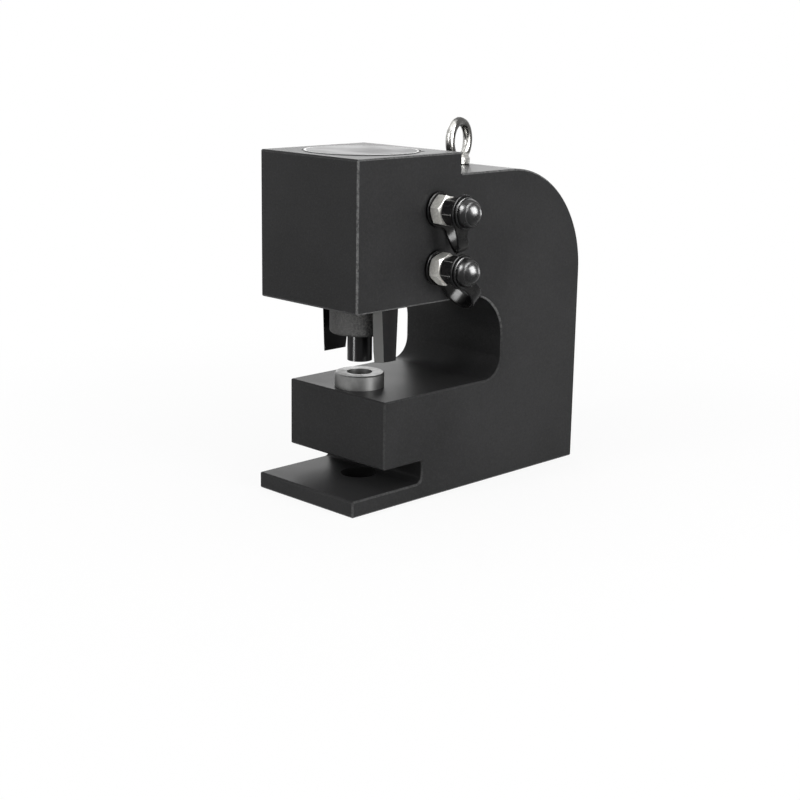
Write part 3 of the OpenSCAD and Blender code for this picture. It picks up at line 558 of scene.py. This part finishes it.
def strap_path(which):
    """The band's middle line: distance from the coupler's axis, place out of the wall, nearest ring."""
    base_z, _, base_r, _ = STRAP_RINGS["base"]
    cap_z, _, cap_r, _ = STRAP_RINGS["cap"]
    leg = STRAP_LEG[which]
    bend_r = (cap_z - base_z) / 2
    first, last = [fillet_centre(r) * r / (r + STRAP_FILLET) for r in (base_r, cap_r)]
    path = []
    for i in range(STRAP_LEG_STEPS):
        path.append((first + (leg - first) * i / STRAP_LEG_STEPS, base_z, base_r))
    for i in range(STRAP_BEND_STEPS + 1):
        a = math.pi * i / STRAP_BEND_STEPS
        path.append((leg + bend_r * math.sin(a), (base_z + cap_z) / 2 - bend_r * math.cos(a),
                     base_r if i < STRAP_BEND_STEPS / 2 else cap_r))
    for i in range(1, STRAP_LEG_STEPS + 1):
        path.append((leg + (last - leg) * i / STRAP_LEG_STEPS, cap_z, cap_r))
    return path


def strap_band(which):
    """Rows of section points along the strap's band, in the coupler's own axes."""
    path = strap_path(which)
    first, last = STRAP_TURN[which]
    last_step = len(path) - 1
    points, turns = [], []
    for i, (away, z, _) in enumerate(path):
        t = i / last_step
        turn = math.radians(first + (last - first) * t * t * (3 - 2 * t))
        turns.append(turn)
        points.append(Vector((away * math.cos(turn), away * math.sin(turn), z)))
    rows = []
    for i, (away, _, ring_r) in enumerate(path):
        across = Vector((-math.sin(turns[i]), math.cos(turns[i]), 0))
        run = points[min(i + 1, last_step)] - points[max(i - 1, 0)]
        through = run.cross(across).normalized()
        section = rounded_box(strap_width(away, ring_r), STRAP_HALF_T, STRAP_EDGE)
        rows.append([points[i] + across * w + through * t for w, t in section])
    return rows


def strap(which, material):
    """Moulded rubber strap: a ring at the wall, a ring on the dust cap and a bent band between."""
    verts, faces = [], []
    for z, inner, outer, half_t in STRAP_RINGS.values():
        section = rounded_box((outer - inner) / 2, half_t, STRAP_RING_EDGE)
        start = len(verts)
        for i in range(STRAP_RING_STEPS):
            a = 2 * math.pi * i / STRAP_RING_STEPS
            for w, t in section:
                r = (outer + inner) / 2 + w
                verts.append(at_coupler(which, (r * math.cos(a), r * math.sin(a), z + t)))
        faces += grid_faces(STRAP_RING_STEPS, len(section), start, True)
    rows = strap_band(which)
    start = len(verts)
    columns = len(rows[0])
    for row in rows:
        verts += [at_coupler(which, p) for p in row]
    faces += grid_faces(len(rows), columns, start, False)
    faces.append(tuple(start + j for j in range(columns)))
    faces.append(tuple(start + (len(rows) - 1) * columns + j for j in reversed(range(columns))))
    piece = new_piece(which + "_strap", verts, faces, material)
    fuse(piece, STRAP_VOXEL * MM, STRAP_SMOOTHING)
    return piece


def fuse(piece, voxel, smoothing):
    """Melts a piece's overlapping shells into one skin and evens it out."""
    remesh = piece.modifiers.new("fuse", "REMESH")
    remesh.mode = "VOXEL"
    remesh.voxel_size = voxel
    remesh.use_smooth_shade = True
    even = piece.modifiers.new("even", "SMOOTH")
    even.factor = 0.5
    even.iterations = smoothing
    graph = bpy.context.evaluated_depsgraph_get()
    made = bpy.data.meshes.new_from_object(piece.evaluated_get(graph))
    piece.modifiers.clear()
    material = piece.data.materials[0]
    piece.data = made
    made.materials.clear()
    made.materials.append(material)
    for polygon in made.polygons:
        polygon.use_smooth = True


def valve_spring(which, material):
    """Round-wire spring inside a coupler, with closed end coils."""
    steps = SPRING_COIL_STEPS * SPRING_COILS
    rows = []
    for i in range(steps + 1):
        t = i / steps
        turn = 2 * math.pi * SPRING_COILS * t
        rise = t - math.sin(2 * math.pi * t) / (2 * math.pi) * SPRING_CLOSING
        z = SPRING_FROM + (SPRING_TO - SPRING_FROM) * rise
        row = []
        for j in range(SPRING_SIDES):
            a = 2 * math.pi * j / SPRING_SIDES
            r = SPRING_R + SPRING_WIRE_R * math.cos(a)
            row.append((r * math.cos(turn), r * math.sin(turn), z + SPRING_WIRE_R * math.sin(a)))
        rows.append(row)
    verts = [at_coupler(which, p) for row in rows for p in row]
    faces = grid_faces(len(rows), SPRING_SIDES, 0, False)
    faces.append(tuple(range(SPRING_SIDES)))
    faces.append(tuple(steps * SPRING_SIDES + j for j in reversed(range(SPRING_SIDES))))
    return new_piece(which + "_spring", verts, faces, material)


def plate_reach(turn):
    """How far the plate reaches at an angle: to its rim, or to the notch round the lock screw."""
    off = turn - math.radians(LOCK_TURN)
    aside = LOCK_R * math.sin(off)
    if abs(aside) >= LOCK_NOTCH or math.cos(off) < 0:
        return PLATE_R
    return min(PLATE_R, LOCK_R * math.cos(off) - math.sqrt(LOCK_NOTCH ** 2 - aside ** 2))


def round_plate(material):
    """Bare round plate on the cylinder's cap: a soft edge, a groove for its line and a notch."""
    slope = PLATE_LINE_HALF + PLATE_LINE_SOFT
    outline = [(PLATE_LINE_R - slope, PLATE_H),
               (PLATE_LINE_R - PLATE_LINE_HALF, PLATE_H - PLATE_GROOVE),
               (PLATE_LINE_R + PLATE_LINE_HALF, PLATE_H - PLATE_GROOVE),
               (PLATE_LINE_R + slope, PLATE_H),
               (PLATE_R - PLATE_EDGE, PLATE_H),
               (PLATE_R - PLATE_EDGE_CUT, PLATE_H - PLATE_EDGE_CUT),
               (PLATE_R, PLATE_H - PLATE_EDGE),
               (PLATE_R, 0.0)]
    verts = [Vector((0, 0, HEAD_TOP + PLATE_H)) * MM]
    for r, h in outline:
        for i in range(PLATE_STEPS):
            a = 2 * math.pi * i / PLATE_STEPS
            reach = r - PLATE_R + plate_reach(a)
            verts.append(Vector((reach * math.cos(a), reach * math.sin(a), HEAD_TOP + h)) * MM)
    faces = [(0, 1 + i, 1 + (i + 1) % PLATE_STEPS) for i in range(PLATE_STEPS)]
    faces += grid_faces(len(outline), PLATE_STEPS, 1, False)
    last_row = 1 + (len(outline) - 1) * PLATE_STEPS
    faces.append(tuple(last_row + i for i in reversed(range(PLATE_STEPS))))
    piece = new_piece("round_plate", verts, faces, material)
    piece.data.set_sharp_from_angle(angle=math.radians(PLATE_SHARP))
    return piece


# Light and background
def area_light(name, at, target, size, power):
    """Softbox aimed at a point."""
    data = bpy.data.lights.new(name, "AREA")
    data.shape = "RECTANGLE"
    data.size, data.size_y = size
    data.energy = power
    lamp = bpy.data.objects.new(name, data)
    aim = Vector(target) - Vector(at)
    lamp.matrix_world = Matrix.Translation(at) @ aim.to_track_quat("-Z", "Y").to_matrix().to_4x4()
    scene.collection.objects.link(lamp)
    lamp.visible_camera = False
    return lamp


def reflector(name, at, target, size, power, only=(), but=()):
    """Card that shows as gloss and lights nothing else: in some pieces only, or in all but some."""
    lamp = area_light(name, at, target, size, power)
    lamp.visible_diffuse = False
    receivers = bpy.data.collections.new(name + "_receivers")
    for piece in (*only, *but):
        receivers.objects.link(piece)
    for member in receivers.collection_objects:
        member.light_linking.link_state = "INCLUDE" if only else "EXCLUDE"
    lamp.light_linking.receiver_collection = receivers


def seen_directly(tree):
    """1 for rays from the camera, from mirrors and through glass, 0 for light that bounces diffusely."""
    path = tree.nodes.new("ShaderNodeLightPath")
    seen = path.outputs["Is Camera Ray"]
    for ray in ("Is Glossy Ray", "Is Transmission Ray"):
        either = tree.nodes.new("ShaderNodeMath")
        either.operation = "MAXIMUM"
        tree.links.new(seen, either.inputs[0])
        tree.links.new(path.outputs[ray], either.inputs[1])
        seen = either.outputs[0]
    return seen


def add_world(level):
    """White surroundings: they show as full white, and light the object at a level of their own."""
    world = bpy.data.worlds.new("studio")
    world.use_nodes = True
    tree = world.node_tree
    tree.nodes.clear()
    out = tree.nodes.new("ShaderNodeOutputWorld")
    mix = tree.nodes.new("ShaderNodeMixShader")
    for slot, strength in ((1, level), (2, 1.0)):
        sky = tree.nodes.new("ShaderNodeBackground")
        sky.inputs["Color"].default_value = (1, 1, 1, 1)
        sky.inputs["Strength"].default_value = strength
        tree.links.new(sky.outputs[0], mix.inputs[slot])
    tree.links.new(seen_directly(tree), mix.inputs[0])
    tree.links.new(mix.outputs[0], out.inputs["Surface"])
    scene.world = world


def add_floor(half, shade, centre, near, far, whiteness):
    """Pale floor: it takes the object's shadow nearby, and fades to the white background further out."""
    mesh = bpy.data.meshes.new("floor")
    corners = [(-half, -half, 0), (half, -half, 0), (half, half, 0), (-half, half, 0)]
    mesh.from_pydata(corners, [], [(0, 1, 2, 3)])
    floor = bpy.data.objects.new("floor", mesh)
    scene.collection.objects.link(floor)
    m = Shader("floor", (shade, shade, shade), roughness=0.9, specular=0.0)
    away = m.radius_from(centre, AXIS_Z)
    share = m.math("MULTIPLY", seen_directly(m.tree), m.remap(away, near, far, whiteness, 1.0))
    white = m.node("ShaderNodeEmission")
    mix = m.node("ShaderNodeMixShader")
    m.link(share, mix.inputs[0])
    m.link(m.bsdf.outputs[0], mix.inputs[1])
    m.link(white.outputs[0], mix.inputs[2])
    m.link(mix.outputs[0], m.tree.nodes["Material Output"].inputs["Surface"])
    mesh.materials.append(m.material)


def dress(material, *names):
    for name in names:
        slots = nodes[name].data.materials
        slots.clear()
        slots.append(material)


def both(name):
    return "upper_" + name, "lower_" + name


# Finishes of the solids
black_steel = turned_black("black_oxide", PUNCH_AXIS, (0.008, 0.008, 0.0087), roughness=0.34, specular=0.11)
punch_black = turned_black("punch_black", PUNCH_AXIS, (0.005, 0.005, 0.0055), roughness=0.34, specular=0.14,
                           brushed=0.9)
# The stripper's milled faces are painted paler, part bare milling and part painted highlight
leg_black = turned_black("leg_black", PUNCH_AXIS, (0.008, 0.008, 0.0087), roughness=0.34, specular=0.07,
                         milled=(0.1, 0.1, 0.098))
# The nipples' bright edges are mostly painted highlight
nipple_black = turned_black("nipple_black", UPPER_AXIS, (0.009, 0.009, 0.0096), roughness=0.27,
                            specular=0.17, wear=0.0008, edge=0.4)
cap_black = turned_black("cap_black", PUNCH_AXIS, (0.02, 0.02, 0.021), roughness=0.4, specular=0.07,
                         wear=0.0006)
steel = machined("steel", PUNCH_AXIS, (0.5, 0.5, 0.49), roughness=0.3)
tool_steel = machined("tool_steel", PUNCH_AXIS, (0.17, 0.17, 0.168), roughness=0.42)
valve_steel = machined("valve_steel", UPPER_AXIS, (0.56, 0.55, 0.53), roughness=0.26)
spring_steel = machined("spring_steel", UPPER_AXIS, (0.55, 0.55, 0.54), roughness=0.25)
hard_chrome = machined("hard_chrome", PUNCH_AXIS, (0.4, 0.4, 0.41), roughness=0.2, line_scale=900.0,
                       depth=0.00002)
bronze = machined("bronze", PUNCH_AXIS, (0.5, 0.33, 0.14), roughness=0.34)
polyurethane = plain_plastic("polyurethane", (0.04, 0.07, 0.15), spread=1.5, roughness=0.4)
wear_tape = plain_plastic("wear_tape", (0.2, 0.105, 0.045), spread=1.4, roughness=0.6)
soft_rubber = rubber()
dress(black_paint(), "frame")
dress(cap_black, "cylinder_cap")
dress(black_steel, "cap_lock_screw", "die_set_screw")
dress(punch_black, "punch")
dress(leg_black, "stripper")
dress(phosphate(), "punch_nut")
dress(tool_steel, "die")
dress(steel, "piston", "piston_nut")
dress(valve_steel, *both("poppet"), *both("spring_stop"))
dress(hard_chrome, "piston_rod")
dress(zinc(), *both("adapter"))
dress(forged_zinc(), "eyebolt")
dress(nipple_black, *both("nipple"))
dress(soft_rubber, "cap_o_ring", "stripper_o_ring", "rod_wiper", *both("port_seal"))
dress(black_plastic(), *both("dust_cap"))
dress(polyurethane, "piston_seal", "rod_seal")
dress(wear_tape, "piston_wear_ring")
dress(bronze, "rod_bush")

# The plate, the straps and the springs
plate = round_plate(plate_finish())
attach(plate, "frame")

for which in ("upper", "lower"):
    band = strap(which, soft_rubber)
    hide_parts(which + "_dust_strap")
    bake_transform(band)
    coil = valve_spring(which, spring_steel)
    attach(coil, "frame")
    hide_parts(which + "_valve_spring")
    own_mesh(coil)

# Surroundings and lamps, in metres and watts
add_world(level=0.22)
add_floor(half=8.0, shade=0.86, centre=(0, 0.07, 0), near=0.15, far=0.6, whiteness=0.9)
area_light("right", at=(1.0, 0.1, 0.26), target=(0.05, 0.1, 0.08), size=(0.42, 0.5), power=8.5)
area_light("front", at=(-0.15, -1.25, 0.62), target=(0.0, -0.05, 0.14), size=(0.26, 0.8), power=9.5)
area_light("rear", at=(-0.95, 0.98, 0.6), target=(0.0, 0.05, 0.24), size=(1.3, 0.6), power=5.4)
area_light("top", at=(0.1, -0.05, 1.35), target=(0.0, 0.05, 0.1), size=(1.4, 1.4), power=8)

# Cards for gloss: the right card would wash out the pieces in without_card, so some have their own
RIGHT_AT = (1.0, 0.14, 0.82)
RIGHT_TARGET = (0.08, 0.03, 0.19)
DOME_TARGET = (0.07, 0.03, 0.19)
domes = [nodes[name] for name in both("dust_cap")]
punching = [nodes["punch"], nodes["punch_nut"]]
eye = [nodes["eyebolt"]]
without_card = [nodes[name] for name in ("frame", "die", "stripper", "punch", "piston_rod")]
without_card += [*eye, plate, *domes]
reflector("right_card", RIGHT_AT, RIGHT_TARGET, size=(0.8, 0.9), power=110, but=without_card)
reflector("punch_card", (-0.16, -1.1, 0.12), (0.0, 0.0, 0.13), size=(0.13, 0.5), power=45, only=punching)
reflector("eye_card", RIGHT_AT, RIGHT_TARGET, size=(0.8, 0.9), power=30, only=eye)
reflector("dome_right", RIGHT_AT, RIGHT_TARGET, size=(1.1, 1.2), power=285, only=domes)
reflector("dome_left", (-0.15, -0.75, 0.95), DOME_TARGET, size=(0.9, 0.5), power=95, only=domes)
reflector("dome_rear", (0.25, 1.2, 0.12), DOME_TARGET, size=(0.6, 0.6), power=8, only=domes)
